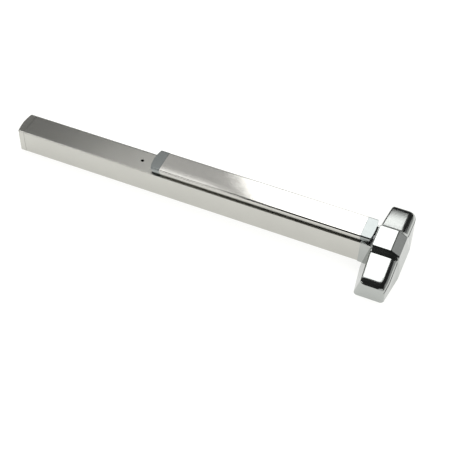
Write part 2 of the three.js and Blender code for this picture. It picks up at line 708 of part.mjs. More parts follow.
// An end cap of the bar: a bowed block with a tongue under the extrusion, and three walls that carry
// the neck on under the cap and close its end
function padEndCap(name, endX, direction, bow, neckWallX) {
  const jointX = endX - direction * BAR_CAP_LENGTH;
  const sides = [
    [jointX, direction * HALF_BAR],
    [jointX, -direction * HALF_BAR],
  ];
  const plan = [...bowedEnd(endX, direction, bow), ...sides];
  const body = toSolid(extrude('z', plan, SKIRT_BOTTOM_Z, BAR_FRONT));
  const section = toSolid(extrude(
    'x',
    [[HALF_BAR, SKIRT_BOTTOM_Z], ...barFront(0), [-HALF_BAR, SKIRT_BOTTOM_Z]],
    Math.min(endX, jointX) - 1,
    Math.max(endX, jointX) + 1,
  ));
  const tongueEnd = jointX - direction * CAP_TONGUE_LENGTH;
  const tongue = block(
    [Math.min(tongueEnd, neckWallX), Math.max(tongueEnd, neckWallX + NECK_END_WALL)],
    [-CAP_TONGUE_HALF_WIDTH, CAP_TONGUE_HALF_WIDTH],
    [FLANGE_TOP_Z - FLANGE_THICKNESS, FLANGE_TOP_Z],
  );
  const neckZ = [NECK_BOTTOM_Z, SKIRT_BOTTOM_Z + 1];
  const neckWall = block(
    [neckWallX, neckWallX + NECK_END_WALL],
    [-NECK_HALF_WIDTH, NECK_HALF_WIDTH],
    neckZ,
  );
  const neckX = [Math.min(neckWallX, jointX), Math.max(neckWallX + NECK_END_WALL, jointX)];
  const neckSides = [
    block(neckX, [NECK_HALF_WIDTH - NECK_WALL, NECK_HALF_WIDTH], neckZ),
    block(neckX, [-NECK_HALF_WIDTH, NECK_WALL - NECK_HALF_WIDTH], neckZ),
  ];
  const screwHoles = Object.values(PAD_CAP_SCREWS).map((x) => padScrewHole(x, FLANGE_TOP_Z));
  const rodTop = ROD_CENTRE_Z + ROD_HALF_HEIGHT + BAR_TRAVEL + GAP;
  const rodNotch = block(
    [NECK_END_X - 1, NECK_END_X + NECK_END_WALL + 1],
    [-ROD_NOTCH_HALF_WIDTH, ROD_NOTCH_HALF_WIDTH],
    [0, rodTop],
  );
  const whole = join(toGeometry(body.intersect(section)), tongue, neckWall, ...neckSides);
  return piece(name, cut(whole, rodNotch, ...screwHoles), MATERIALS.capGrey);
}

const DOG_TAB_Z = [36, 39];
const DOG_FLANGE_TOP_Z = FLANGE_TOP_Z - FLANGE_THICKNESS - GAP;
const DOG_TAB_X = [-528, -467.5];
const DOG_FLANGE_LEFT_X = -487;
const DOG_FLANGE_HALF_WIDTH = 9;
const DOG_TAB_HALF_WIDTH = 6;

// The tab that the dogging hook catches: clamped under the left end cap, it reaches beneath the cover plate
function dogTab() {
  const right = DOG_TAB_X[1];
  const width = [-DOG_TAB_HALF_WIDTH, DOG_TAB_HALF_WIDTH];
  const flange = block(
    [DOG_FLANGE_LEFT_X, right],
    [-DOG_FLANGE_HALF_WIDTH, DOG_FLANGE_HALF_WIDTH],
    [DOG_FLANGE_TOP_Z - FLANGE_THICKNESS, DOG_FLANGE_TOP_Z],
  );
  const drop = block([right - SHEET, right], width, [DOG_TAB_Z[0], DOG_FLANGE_TOP_Z]);
  const tab = block(DOG_TAB_X, width, DOG_TAB_Z);
  const hole = padScrewHole(PAD_CAP_SCREWS.left, DOG_FLANGE_TOP_Z);
  return piece('dogging_tab', cut(join(flange, drop, tab), hole), MATERIALS.zincSteel);
}

function pushBar() {
  const flangeBottom = FLANGE_TOP_Z - FLANGE_THICKNESS;
  return assembly(
    [0, 0, 0],
    padSkin(),
    padExtrusion(),
    padEndCap('pad_end_cap_left', BAR_LEFT_X, -1, LEFT_CAP_BOW, NECK_LEFT_X),
    padEndCap('pad_end_cap_right', BAR_RIGHT_X, 1, RIGHT_CAP_BOW, NECK_END_X),
    padScrew('pad_cap_screw_left', PAD_CAP_SCREWS.left, DOG_FLANGE_TOP_Z - FLANGE_THICKNESS),
    padScrew('pad_cap_screw_right', PAD_CAP_SCREWS.right, flangeBottom),
    dogTab(),
  );
}

// ---- Hex-key dogging ----
const HOOK_Z = [27.4, 30.4];
const HOOK_REACH = 16;
const HOOK_BOSS_RADIUS = 8;
const HOOK_ARM_RADIUS = 4;
const DOG_SHAFT_RADIUS = 4;
const DOG_SHAFT_LENGTH = 36.5;
const DOG_HEAD = { radius: 6, height: 7, chamfer: 0.8, socketDepth: 6.5, socketRadius: 2.4 };
const DOG_BRACKET_LEFT_X = -575;
const DOG_FOOT_RIGHT_X = -545;
const DOG_SHELF_RIGHT_X = -530;
const DOG_SHELF_Z = [44 - SHEET, 44];
const DOG_FOOT_HALF_WIDTH = 14;
const DOG_SHELF_HALF_WIDTH = 10;

function doggingBracket() {
  const left = DOG_BRACKET_LEFT_X;
  const width = [-DOG_SHELF_HALF_WIDTH, DOG_SHELF_HALF_WIDTH];
  const footWidth = [-DOG_FOOT_HALF_WIDTH, DOG_FOOT_HALF_WIDTH];
  const foot = block([left, DOG_FOOT_RIGHT_X], footWidth, [RAIL_BOTTOM_Z, FOOT_TOP_Z]);
  const wall = block([left, left + SHEET], width, [RAIL_BOTTOM_Z, DOG_SHELF_Z[1]]);
  const shelf = block([left, DOG_SHELF_RIGHT_X], width, DOG_SHELF_Z);
  const bearing = rod('z', [DOGGING_X, 0], DOG_SHELF_Z[0] - 1, DOG_SHELF_Z[1] + 1, DOG_SHAFT_RADIUS + GAP);
  const holes = DOGGING_FOOT_SCREWS_X.map((x) => floorScrewHole(x));
  return piece('dogging_bracket', cut(join(foot, wall, shelf), bearing, ...holes), MATERIALS.zincSteel);
}

function doggingScrew() {
  const top = DOG_SHAFT_LENGTH + DOG_HEAD.height;
  const profile = [
    [0, 0],
    [DOG_SHAFT_RADIUS, 0],
    [DOG_SHAFT_RADIUS, DOG_SHAFT_LENGTH],
    [DOG_HEAD.radius, DOG_SHAFT_LENGTH],
    [DOG_HEAD.radius, top - DOG_HEAD.chamfer],
    [DOG_HEAD.radius - DOG_HEAD.chamfer, top],
    [0, top],
  ].map(([r, z]) => new THREE.Vector2(r, z));
  const body = new THREE.LatheGeometry(profile, COARSE).rotateX(Math.PI / 2);
  const socket = rod('z', [0, 0], top - DOG_HEAD.socketDepth, top + 1, DOG_HEAD.socketRadius, 6);
  const bottom = DOG_SHELF_Z[1] + GAP - DOG_SHAFT_LENGTH;
  return piece('dogging_screw', cut(body, socket), MATERIALS.darkSteel, [DOGGING_X, 0, bottom]);
}

function doggingHook() {
  const boss = rod('z', [0, 0], HOOK_Z[0], HOOK_Z[1], HOOK_BOSS_RADIUS);
  const arm = extrude('z', capsule([0, 0], [0, -HOOK_REACH], HOOK_ARM_RADIUS), HOOK_Z[0], HOOK_Z[1]);
  const bore = rod('z', [0, 0], HOOK_Z[0] - 1, HOOK_Z[1] + 1, DOG_SHAFT_RADIUS + GAP);
  return piece('dogging_hook', cut(join(boss, arm), bore), MATERIALS.darkSteel, [DOGGING_X, 0, 0]);
}

// ---- Head: chassis, lock hub, retractor slide and cover ----
const TONGUE_SCREW_X = -70;
const TONGUE_SCREW_Y = 10;
const CHASSIS_HALF_WIDTH = 33;
const CHASSIS_END_HALF_WIDTH = 26.5;
const CHASSIS_SHOULDER_Y = 35;
const CHASSIS_TONGUE_LEFT_X = -80;
const EAR_OUTER_Y = 107;
const EAR_INNER_Y = EAR_OUTER_Y - SHEET;
const EAR_TOP_Z = 22;
const EAR_HALF_WIDTH = 19;
const EAR_RELIEF_HALF_WIDTH = 23;
const DOOR_SCREW_HOLE_RADIUS = 3.3;
const COVER_SCREW_HOLE_RADIUS = 1.8;
const HUB_HOLE_RADIUS = 9;
const COVER_SCREWS_X = [-14, 14];
const COVER_SCREW_Z = 13;
const DOOR_SCREWS = [[-22, 80], [22, 80], [-22, -80], [22, -80]];

function chassis() {
  const outline = [
    [CHASSIS_END_HALF_WIDTH, -EAR_INNER_Y],
    [CHASSIS_HALF_WIDTH, -CHASSIS_SHOULDER_Y],
    [CHASSIS_HALF_WIDTH, CHASSIS_SHOULDER_Y],
    [CHASSIS_END_HALF_WIDTH, EAR_INNER_Y],
    [-CHASSIS_END_HALF_WIDTH, EAR_INNER_Y],
    [-CHASSIS_HALF_WIDTH, CHASSIS_SHOULDER_Y],
    [-CHASSIS_HALF_WIDTH, -CHASSIS_SHOULDER_Y],
    [-CHASSIS_END_HALF_WIDTH, -EAR_INNER_Y],
  ];
  const plate = extrude('z', outline, 0, CHASSIS_THICKNESS);
  const ears = [
    block([-EAR_HALF_WIDTH, EAR_HALF_WIDTH], [EAR_INNER_Y - 1, EAR_OUTER_Y], [0, EAR_TOP_Z]),
    block([-EAR_HALF_WIDTH, EAR_HALF_WIDTH], [-EAR_OUTER_Y, -EAR_INNER_Y + 1], [0, EAR_TOP_Z]),
  ];
  const reliefX = [-EAR_RELIEF_HALF_WIDTH, EAR_RELIEF_HALF_WIDTH];
  const reliefZ = [CHASSIS_THICKNESS, EAR_TOP_Z + 1];
  const earReliefs = [
    block(reliefX, [EAR_INNER_Y - 2, EAR_INNER_Y], reliefZ),
    block(reliefX, [-EAR_INNER_Y, -EAR_INNER_Y + 2], reliefZ),
  ];
  const width = [-FOOT_HALF_WIDTH, FOOT_HALF_WIDTH];
  const joggle = block([CASE_RIGHT_X + 1, -CHASSIS_HALF_WIDTH + 1], width, [0, FOOT_TOP_Z]);
  const tongue = block([CHASSIS_TONGUE_LEFT_X, CASE_RIGHT_X + 2], width, [RAIL_BOTTOM_Z, FOOT_TOP_Z]);
  const holes = [
    rod('z', [HUB_X, 0], -1, CHASSIS_THICKNESS + 1, HUB_HOLE_RADIUS, FINE),
    ...DOOR_SCREWS.map((at) => rod('z', at, -1, CHASSIS_THICKNESS + 1, DOOR_SCREW_HOLE_RADIUS)),
    ...[-1, 1].map((side) => floorScrewHole(TONGUE_SCREW_X, side * TONGUE_SCREW_Y)),
    ...COVER_SCREWS_X.map((x) =>
      rod('y', [x, COVER_SCREW_Z], EAR_INNER_Y - 1, EAR_OUTER_Y + 1, COVER_SCREW_HOLE_RADIUS),
    ),
  ];
  const whole = join(plate, ...ears, joggle, tongue);
  return piece('chassis_plate', cut(whole, ...earReliefs, ...holes), MATERIALS.zincSteel);
}

const HUB_PIN = [
  HUB_ARM * Math.sin(HUB_HALF_SWING),
  -HUB_ARM * Math.cos(HUB_HALF_SWING),
];
const HUB_ARM_Z = [6.3, 9.3];
const HUB_TOP_Z = SLIDE_BOTTOM_Z - GAP;
const HUB_BODY_RADIUS = HUB_HOLE_RADIUS - GAP;
const HUB_FLANGE_RADIUS = 11.5;
const HUB_ARM_RADIUS = 5;

// The hub that turns the lock's square spindle, with an arm for its drive pin
function lockHub() {
  const body = rod('z', [0, 0], GAP, HUB_TOP_Z, HUB_BODY_RADIUS, FINE);
  const flange = rod('z', [0, 0], CHASSIS_THICKNESS + GAP, HUB_ARM_Z[0], HUB_FLANGE_RADIUS, FINE);
  const arm = extrude('z', capsule([0, 0], HUB_PIN, HUB_ARM_RADIUS), HUB_ARM_Z[0] - 1, HUB_ARM_Z[1]);
  const half = SPINDLE_SQUARE / 2;
  const socket = block([-half, half], [-half, half], [-1, HUB_TOP_Z + 1]);
  const pinHole = rod('z', HUB_PIN, CHASSIS_THICKNESS, HUB_TOP_Z + 1, PIN_RADIUS + GAP);
  return piece('lock_hub', cut(join(body, flange, arm), socket, pinHole), MATERIALS.darkSteel, [HUB_X, 0, 0]);
}

function hubPin() {
  const geometry = rod('z', [0, 0], HUB_ARM_Z[0], SLIDE_BOTTOM_Z + SLIDE_THICKNESS + 1, PIN_RADIUS);
  return piece('hub_drive_pin', geometry, MATERIALS.darkSteel, [HUB_X + HUB_PIN[0], HUB_PIN[1], 0]);
}

const SLIDE_X = [-40, 29];
const SLIDE_Y = [-23, 13];
const SLIDE_CHEEK_RIGHT_X = -26;

// The slide that the rod pulls: a plate slotted for the hub's pin, with two cheeks for the rod
function retractorSlide() {
  const top = SLIDE_BOTTOM_Z + SLIDE_THICKNESS;
  const plate = block(SLIDE_X, SLIDE_Y, [SLIDE_BOTTOM_Z, top]);
  const inner = ROD_HALF_THICKNESS + GAP;
  const cheekX = [SLIDE_X[0], SLIDE_CHEEK_RIGHT_X];
  const cheekZ = [SLIDE_BOTTOM_Z, ROD_CENTRE_Z + ROD_HALF_HEIGHT];
  const cheeks = [
    block(cheekX, [inner, inner + SHEET], cheekZ),
    block(cheekX, [-inner - SHEET, -inner], cheekZ),
  ];
  const rise = HUB_ARM * (1 - Math.cos(HUB_HALF_SWING));
  const pinX = HUB_X + HUB_PIN[0];
  const slot = extrude(
    'z',
    capsule([pinX, HUB_PIN[1] - rise], [pinX, HUB_PIN[1]], PIN_RADIUS + GAP),
    SLIDE_BOTTOM_Z - 1,
    top + 1,
  );
  const linkHole = rod('y', [ROD_PIN_X, ROD_CENTRE_Z], -THROUGH, THROUGH, PIN_RADIUS + GAP);
  return piece('retractor_slide', cut(join(plate, ...cheeks), slot, linkHole), MATERIALS.zincSteel);
}

const SLIDE_GUIDE = { x: [-20, 24], foot: 10, lipReach: 3, lipThickness: 2 };

// A guide strip with a foot on the chassis and a lip over the slide's edge
function slideGuide(name, edgeY, side) {
  const outer = edgeY + side * (GAP + SHEET);
  const wall = [edgeY + side * GAP, outer];
  const lip = [edgeY - side * SLIDE_GUIDE.lipReach, outer];
  const foot = [edgeY + side * GAP, edgeY + side * SLIDE_GUIDE.foot];
  const order = (pair) => [Math.min(...pair), Math.max(...pair)];
  const base = CHASSIS_THICKNESS + GAP;
  const lipBottom = SLIDE_BOTTOM_Z + SLIDE_THICKNESS + GAP;
  const lipTop = lipBottom + SLIDE_GUIDE.lipThickness;
  const geometry = join(
    block(SLIDE_GUIDE.x, order(foot), [base, base + SHEET]),
    block(SLIDE_GUIDE.x, order(wall), [base, lipTop]),
    block(SLIDE_GUIDE.x, order(lip), [lipBottom, lipTop]),
  );
  return piece(name, geometry, MATERIALS.zincSteel);
}

const smooth = (t) => t * t * (3 - 2 * t);
const clamp01 = (t) => Math.min(1, Math.max(0, t));

// Each of these is a function of a, the distance from the centre line: 0 to 1 down the step,
// along the wing and round the tip, and how far the tip's rounding has drawn the surface in
const stepShare = (a) => smooth(clamp01((a - BLOCK_HALF_HEIGHT) / (WING_ROOT_Y - BLOCK_HALF_HEIGHT)));
const wingShare = (a) => clamp01((a - WING_ROOT_Y) / (TIP_START_Y - WING_ROOT_Y));
const tipShare = (a) => clamp01((a - TIP_START_Y) / TIP_RADIUS);
const tipTurn = (a) => TIP_RADIUS * (1 - Math.sqrt(1 - tipShare(a) ** 2));

// Front height of the cover: block, step, sloping wing, round tip
function coverTop(a) {
  const front = HEAD_DEPTH - stepShare(a) * (HEAD_DEPTH - WING_ROOT_Z);
  return front - wingShare(a) * (WING_ROOT_Z - WING_TIP_Z) - tipTurn(a);
}

// Half width of the cover's foot, which narrows along the wings and rounds off at the tips
function coverFoot(a) {
  return HEAD_BASE_HALF_WIDTH - wingShare(a) * (HEAD_BASE_HALF_WIDTH - HEAD_BASE_END_HALF_WIDTH) - tipTurn(a);
}

const TIP_RIGHT_DRAW = 3;

// One cross-section of the cover, (x, z) points from the left foot over the front to the right foot
function coverSection(a, inset, footZ) {
  const foot = coverFoot(a);
  const top = coverTop(a) - inset;
  const faceLeft = HEAD_FACE_LEFT_X + wingShare(a) * (HEAD_TIP_LEFT_X - HEAD_FACE_LEFT_X);
  const left = faceLeft + inset + tipShare(a) * TIP_RADIUS;
  const edge = HEAD_FACE_RIGHT_X - inset / 2 - tipShare(a) * TIP_RIGHT_DRAW;
  const shoulder = Math.min(SHOULDER_X, foot - 2) - inset;
  const onBlock = 1 - stepShare(a);
  const drop = SHOULDER_DROP.wing + (SHOULDER_DROP.block - SHOULDER_DROP.wing) * onBlock;
  const rightCurve = Array.from({ length: 6 }, (_, i) => {
    const angle = (Math.PI / 2) * (i / 5);
    const roundX = edge + (shoulder - edge) * Math.sin(angle);
    const roundZ = top - drop * (1 - Math.cos(angle));
    const bevelX = edge + (shoulder - edge) * (i / 5);
    const bevelZ = top - drop * (i / 5);
    return [roundX + (bevelX - roundX) * onBlock, roundZ + (bevelZ - roundZ) * onBlock];
  });
  return [
    [-foot + inset, footZ],
    ...arc(left + HEAD_LEFT_RADIUS, top - HEAD_LEFT_RADIUS, HEAD_LEFT_RADIUS, 180, 90, 3),
    ...rightCurve,
    [foot - inset, footZ],
  ];
}

// A closed loft through cross-sections at stations along Y, with the tips drafted inwards
function coverLoft(stations, inset, footZ) {
  const rings = stations.map((y) => coverSection(Math.abs(y), inset, footZ));
  const count = rings[0].length;
  const positions = rings.flatMap((ring, i) =>
    ring.flatMap(([x, z]) => [x, stations[i] * (1 - (z / WING_TIP_Z) * (END_DRAFT / HEAD_HALF_HEIGHT)), z]),
  );
  const triangles = [];
  for (let i = 0; i < rings.length - 1; i += 1) {
    for (let j = 0; j < count; j += 1) {
      const a = i * count + j;
      const b = i * count + ((j + 1) % count);
      triangles.push(a, b, a + count, b, b + count, a + count);
    }
  }
  const last = (rings.length - 1) * count;
  const cap = THREE.ShapeUtils.triangulateShape(rings[0].map(([x, z]) => new THREE.Vector2(x, z)), []);
  for (const [a, b, c] of cap) {
    triangles.push(a, b, c, last + a, last + c, last + b);
  }
  const geometry = new THREE.BufferGeometry();
  geometry.setAttribute('position', new THREE.Float32BufferAttribute(positions, 3));
  geometry.setIndex(triangles);
  return geometry;
}

function mirrored(values) {
  return [...values.map((v) => -v).reverse(), 0, ...values];
}

const COVER_SEAT_DEPTH = 1.7;
const COVER_SCREW_HEAD = { radius: 4, height: 1.3 };
const COVER_SCREW_SHANK = { radius: 1.5, length: 7 };
const coverSeatFaceY = HEAD_HALF_HEIGHT - (COVER_SCREW_Z / WING_TIP_Z) * END_DRAFT;

function headCover() {
  const stepStations = Array.from({ length: 7 }, (_, i) =>
    THREE.MathUtils.lerp(BLOCK_HALF_HEIGHT, WING_ROOT_Y, i / 6),
  );
  const stations = [14, ...stepStations, 57, 75, 92, TIP_START_Y, 107];
  const shell = coverLoft(mirrored([...stations, 109.5, 111.3, HEAD_HALF_HEIGHT]), 0, 0);
  const hollow = coverLoft(mirrored([...stations, HEAD_HALF_HEIGHT - COVER_WALL]), COVER_WALL, -1);
  const inner = HALF_CASE + GAP;
  const outer = inner + COLLAR_WALL;
  const collarTop = CASE_DEPTH + GAP + COLLAR_WALL;
  const collarOutline = [
    [outer, 0],
    ...arc(outer - COLLAR_RADIUS, collarTop - COLLAR_RADIUS, COLLAR_RADIUS, 0, 90, 4),
    ...arc(-outer + COLLAR_RADIUS, collarTop - COLLAR_RADIUS, COLLAR_RADIUS, 90, 180, 4),
    [-outer, 0],
  ];
  const collar = extrude('x', collarOutline, COLLAR_LEFT_X, HEAD_FACE_LEFT_X + 4);
  const passage = block([COLLAR_LEFT_X - 1, HEAD_FACE_LEFT_X + 6], [-inner, inner], [-1, CASE_DEPTH + GAP]);
  const window = block(
    [COLLAR_LEFT_X - 1, HEAD_FACE_LEFT_X - 1],
    [-COLLAR_WINDOW_HALF_WIDTH, COLLAR_WINDOW_HALF_WIDTH],
    [CASE_DEPTH, collarTop + 1],
  );
  const seats = COVER_SCREWS_X.flatMap((x) => [
    rod(
      'y',
      [x, COVER_SCREW_Z],
      coverSeatFaceY - COVER_SEAT_DEPTH,
      coverSeatFaceY + COVER_SEAT_DEPTH,
      COVER_SCREW_HEAD.radius + GAP,
    ),
    rod('y', [x, COVER_SCREW_Z], EAR_OUTER_Y, coverSeatFaceY, COVER_SCREW_HOLE_RADIUS),
  ]);
  const cover = cut(join(shell, collar), hollow, passage, window, ...seats);
  return piece('head_cover', cover, MATERIALS.satinChrome);
}

function coverScrews() {
  const { radius, length } = COVER_SCREW_SHANK;
  const shape = screw(radius, length, COVER_SCREW_HEAD.radius, COVER_SCREW_HEAD.height);
  return COVER_SCREWS_X.map((x, i) => {
    const mesh = piece(`cover_screw_${i + 1}`, shape, MATERIALS.zincSteel);
    mesh.rotation.x = -Math.PI / 2;
    mesh.position.set(x, coverSeatFaceY - COVER_SEAT_DEPTH + GAP - length, COVER_SCREW_Z);
    return mesh;
  });
}

// ---- The whole device ----
const device = new THREE.Group();
device.name = 'panic_exit_bar';
device.position.x = -(DEVICE_END_X + HEAD_BASE_HALF_WIDTH) / 2;
device.add(
  mechanismCase(),
  coverPlate(),
  endCap(),
  endCapBracket(),
  ...endCapScrews(),
  ...END_FOOT_SCREWS_X.map((x) => floorScrew('end_foot_screw', x, 0, FOOT_TOP_Z)),
  baseRail(),
  ...RAIL_SCREWS_X.map((x, i) => floorScrew(`rail_screw_${i + 1}`, x, 0, RAIL_TOP_Z)),
  ...Object.entries(CRANK_STATIONS).map(([side, x]) => crankStation(side, x)),
  pullRod(),
  rodGuide(),
  headedPin('slide_link_pin', PIN_RADIUS, ROD_HALF_THICKNESS + SHEET + 2 * GAP, [ROD_PIN_X, 0, ROD_CENTRE_Z]),
  pushBar(),
  doggingBracket(),
  ...DOGGING_FOOT_SCREWS_X.map((x) => floorScrew('dogging_foot_screw', x, 0, FOOT_TOP_Z)),
  doggingScrew(),
  doggingHook(),
  chassis(),
  floorScrew('tongue_screw_1', TONGUE_SCREW_X, -TONGUE_SCREW_Y, FOOT_TOP_Z),
  floorScrew('tongue_screw_2', TONGUE_SCREW_X, TONGUE_SCREW_Y, FOOT_TOP_Z),
  lockHub(),
  hubPin(),
  retractorSlide(),
  slideGuide('slide_guide_upper', SLIDE_Y[1], 1),
  slideGuide('slide_guide_lower', SLIDE_Y[0], -1),
  headCover(),
  ...coverScrews(),
);

export default device;
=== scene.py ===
"""The looks of a touch-bar panic exit device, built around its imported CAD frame.

Everything is in metres in the CAD frame: +Z points out from the door, +X runs towards the lock-side head.
"""

import json
import math

import bmesh
import bpy
from mathutils import Matrix, Vector


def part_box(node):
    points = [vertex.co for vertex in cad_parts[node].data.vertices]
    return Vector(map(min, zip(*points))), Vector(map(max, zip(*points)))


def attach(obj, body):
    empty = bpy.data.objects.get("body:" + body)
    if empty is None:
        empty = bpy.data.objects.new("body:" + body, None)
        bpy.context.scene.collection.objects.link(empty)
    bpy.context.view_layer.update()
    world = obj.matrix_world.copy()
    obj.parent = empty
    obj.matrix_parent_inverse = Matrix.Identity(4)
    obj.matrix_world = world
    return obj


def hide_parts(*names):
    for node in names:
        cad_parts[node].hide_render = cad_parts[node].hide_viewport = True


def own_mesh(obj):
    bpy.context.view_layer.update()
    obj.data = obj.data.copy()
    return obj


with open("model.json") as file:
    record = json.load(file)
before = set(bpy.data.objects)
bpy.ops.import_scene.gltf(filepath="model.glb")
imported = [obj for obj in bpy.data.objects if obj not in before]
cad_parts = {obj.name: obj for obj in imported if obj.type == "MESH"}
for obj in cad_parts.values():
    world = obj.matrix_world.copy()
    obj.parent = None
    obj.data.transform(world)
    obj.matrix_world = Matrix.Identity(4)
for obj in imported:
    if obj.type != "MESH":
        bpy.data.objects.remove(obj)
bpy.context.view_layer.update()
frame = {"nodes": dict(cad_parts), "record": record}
SCENE = bpy.context.scene
MM = 0.001

BODY_OF = {
    node: body
    for body, nodes in frame["record"]["behaviour"]["bodies"].items()
    for node in nodes
}
SLOT_OF = {entry["node"]: entry["material_slot"] for entry in frame["record"]["subparts"]}

# ---- Camera, lights and floor ----
CAMERA_AIM = Vector((0.0746, -0.0743, 0.030))
CAMERA_DISTANCE = 2.1415
CAMERA_AZIMUTH = 22.01
CAMERA_ELEVATION = 48.96
CAMERA_ROLL = 1.51
CAMERA_LENS = 84.76
CAMERA_SENSOR = 36.0

FLOOR_SIZE = 7.0
FLOOR_HEIGHT = -0.4 * MM
FLOOR_GREY = (0.25, 0.25, 0.245)
FLOOR_GLOW = 0.80
FLOOR_GLOW_COLOUR = (1.0, 1.0, 0.985)

# Soft boxes that face straight down: name, centre, size, turn about Z in degrees, brightness
SOFT_BOX_HEIGHT = 2.0
SOFT_BOXES = [
    ("key_box", (0.17, 1.46), (1.25, 2.0), 15.0, 2.8),
    ("back_box", (-0.08, 3.08), (0.72, 0.85), 0.0, 2.4),
    ("left_box", (-0.90, 0.90), (0.60, 1.00), 0.0, 1.5),
    ("fill_box", (-0.84, 1.70), (0.80, 1.10), 0.0, 0.55),
    ("lip_box", (-1.15, 0.62), (1.3, 0.60), 0.0, 2.4),
    ("edge_box", (-1.5, -2.2), (1.8, 1.4), 0.0, 3.0),
    ("right_box", (2.9, 2.7), (1.7, 1.7), 0.0, 0.55),
    ("far_left_box", (-3.4, 3.2), (2.6, 2.8), 0.0, 0.9),
]
# A grey card that stands upright beyond the head
SIDE_CARD = {"x": 2.2, "y": (0.2, 3.4), "z": (0.05, 1.1), "brightness": 0.45}
# An upright card beyond the near side of the head, for the views from behind
REAR_CARD = {"centre": (2.2, -2.2, 0.85), "size": (3.0, 1.5), "turn": 45.0, "brightness": 0.8}
WORLD_REFLECTED = (0.022, 0.023, 0.022)
WORLD_SEEN = (1.0, 1.0, 1.0)


def look_matrix(azimuth, elevation, roll):
    """Columns are the camera's right, up and back axes."""
    az, el, turn = (math.radians(angle) for angle in (azimuth, elevation, roll))
    back = Vector((math.sin(az) * math.cos(el), -math.cos(az) * math.cos(el), math.sin(el)))
    right = Vector((math.cos(az), math.sin(az), 0.0))
    up = back.cross(right)
    rolled_right = right * math.cos(turn) + up * math.sin(turn)
    rolled_up = up * math.cos(turn) - right * math.sin(turn)
    return Matrix((rolled_right, rolled_up, back)).transposed()


def add_camera():
    data = bpy.data.cameras.new("camera")
    data.lens = CAMERA_LENS
    data.sensor_width = CAMERA_SENSOR
    camera = bpy.data.objects.new("camera", data)
    turn = look_matrix(CAMERA_AZIMUTH, CAMERA_ELEVATION, CAMERA_ROLL)
    place = CAMERA_AIM + turn.col[2] * CAMERA_DISTANCE
    camera.matrix_world = Matrix.Translation(place) @ turn.to_4x4()
    SCENE.collection.objects.link(camera)
    SCENE.camera = camera


def add_soft_box(name, centre, size, brightness, turn=(0.0, 0.0, 0.0)):
    data = bpy.data.lights.new(name, "AREA")
    data.shape = "RECTANGLE"
    data.size, data.size_y = size
    data.energy = math.pi * size[0] * size[1] * brightness
    light = bpy.data.objects.new(name, data)
    light.location = centre
    light.rotation_euler = turn
    light.visible_camera = False
    SCENE.collection.objects.link(light)


def add_lights():
    for name, (x, y), size, turn, brightness in SOFT_BOXES:
        centre = (x, y, SOFT_BOX_HEIGHT)
        add_soft_box(name, centre, size, brightness, (0.0, 0.0, math.radians(turn)))
    ys, zs = SIDE_CARD["y"], SIDE_CARD["z"]
    centre = (SIDE_CARD["x"], sum(ys) / 2, sum(zs) / 2)
    size = (zs[1] - zs[0], ys[1] - ys[0])
    add_soft_box("side_card", centre, size, SIDE_CARD["brightness"], (0.0, math.radians(90.0), 0.0))
    turn = (math.radians(90.0), 0.0, math.radians(REAR_CARD["turn"]))
    add_soft_box("rear_card", REAR_CARD["centre"], REAR_CARD["size"], REAR_CARD["brightness"], turn)


def add_world():
    """A studio that is dark in reflections and pale where it is seen or lights a matt surface."""
    world = bpy.data.worlds.new("studio")
    world.use_nodes = True
    tree = world.node_tree
    background = tree.nodes["Background"]
    background.inputs["Color"].default_value = (*WORLD_SEEN, 1.0)
    reflected = tree.nodes.new("ShaderNodeBackground")
    reflected.inputs["Color"].default_value = (*WORLD_REFLECTED, 1.0)
    path = tree.nodes.new("ShaderNodeLightPath")
    mix = tree.nodes.new("ShaderNodeMixShader")
    tree.links.new(path.outputs["Is Glossy Ray"], mix.inputs["Fac"])
    tree.links.new(background.outputs["Background"], mix.inputs[1])
    tree.links.new(reflected.outputs["Background"], mix.inputs[2])
    tree.links.new(mix.outputs["Shader"], tree.nodes["World Output"].inputs["Surface"])
    SCENE.world = world


def add_floor():
    """A pale sheet that glows a little, like a lit photographer's table."""
    mesh = bpy.data.meshes.new("floor")
    half = FLOOR_SIZE / 2
    corners = [(-half, -half, 0.0), (half, -half, 0.0), (half, half, 0.0), (-half, half, 0.0)]
    mesh.from_pydata(corners, [], [(0, 1, 2, 3)])
    floor = bpy.data.objects.new("floor", mesh)
    floor.location.z = FLOOR_HEIGHT
    SCENE.collection.objects.link(floor)
    paper = surface("floor_paper", FLOOR_GREY, 0.8, 0.0, mottle=0.01, mottle_scale=3.0)
    shader = paper.node_tree.nodes["Principled BSDF"]
    shader.inputs["Specular IOR Level"].default_value = 0.0
    shader.inputs["Emission Color"].default_value = (*FLOOR_GLOW_COLOUR, 1.0)
    shader.inputs["Emission Strength"].default_value = FLOOR_GLOW
    floor.data.materials.append(paper)


# ---- Materials ----
def noise(tree, scale, stretch, detail):
    """A noise texture in the object's own coordinates, stretched by a factor along each axis."""
    place = tree.nodes.new("ShaderNodeTexCoord")
    mapping = tree.nodes.new("ShaderNodeMapping")
    mapping.inputs["Scale"].default_value = stretch
    texture = tree.nodes.new("ShaderNodeTexNoise")
    texture.inputs["Scale"].default_value = scale
    texture.inputs["Detail"].default_value = detail
    tree.links.new(place.outputs["Object"], mapping.inputs["Vector"])
    tree.links.new(mapping.outputs["Vector"], texture.inputs["Vector"])
    return texture.outputs["Fac"]


def ranged(tree, factor, low, high):
    """Stretches a noise's middle range over the range from low to high."""
    node = tree.nodes.new("ShaderNodeMapRange")
    node.inputs["From Min"].default_value = 0.3
    node.inputs["From Max"].default_value = 0.7
    node.inputs["To Min"].default_value = low
    node.inputs["To Max"].default_value = high
    tree.links.new(factor, node.inputs["Value"])
    return node.outputs["Result"]


FINE_GRAIN = (900.0, (1.0, 1.0, 1.0), 0.00001, 0.04)


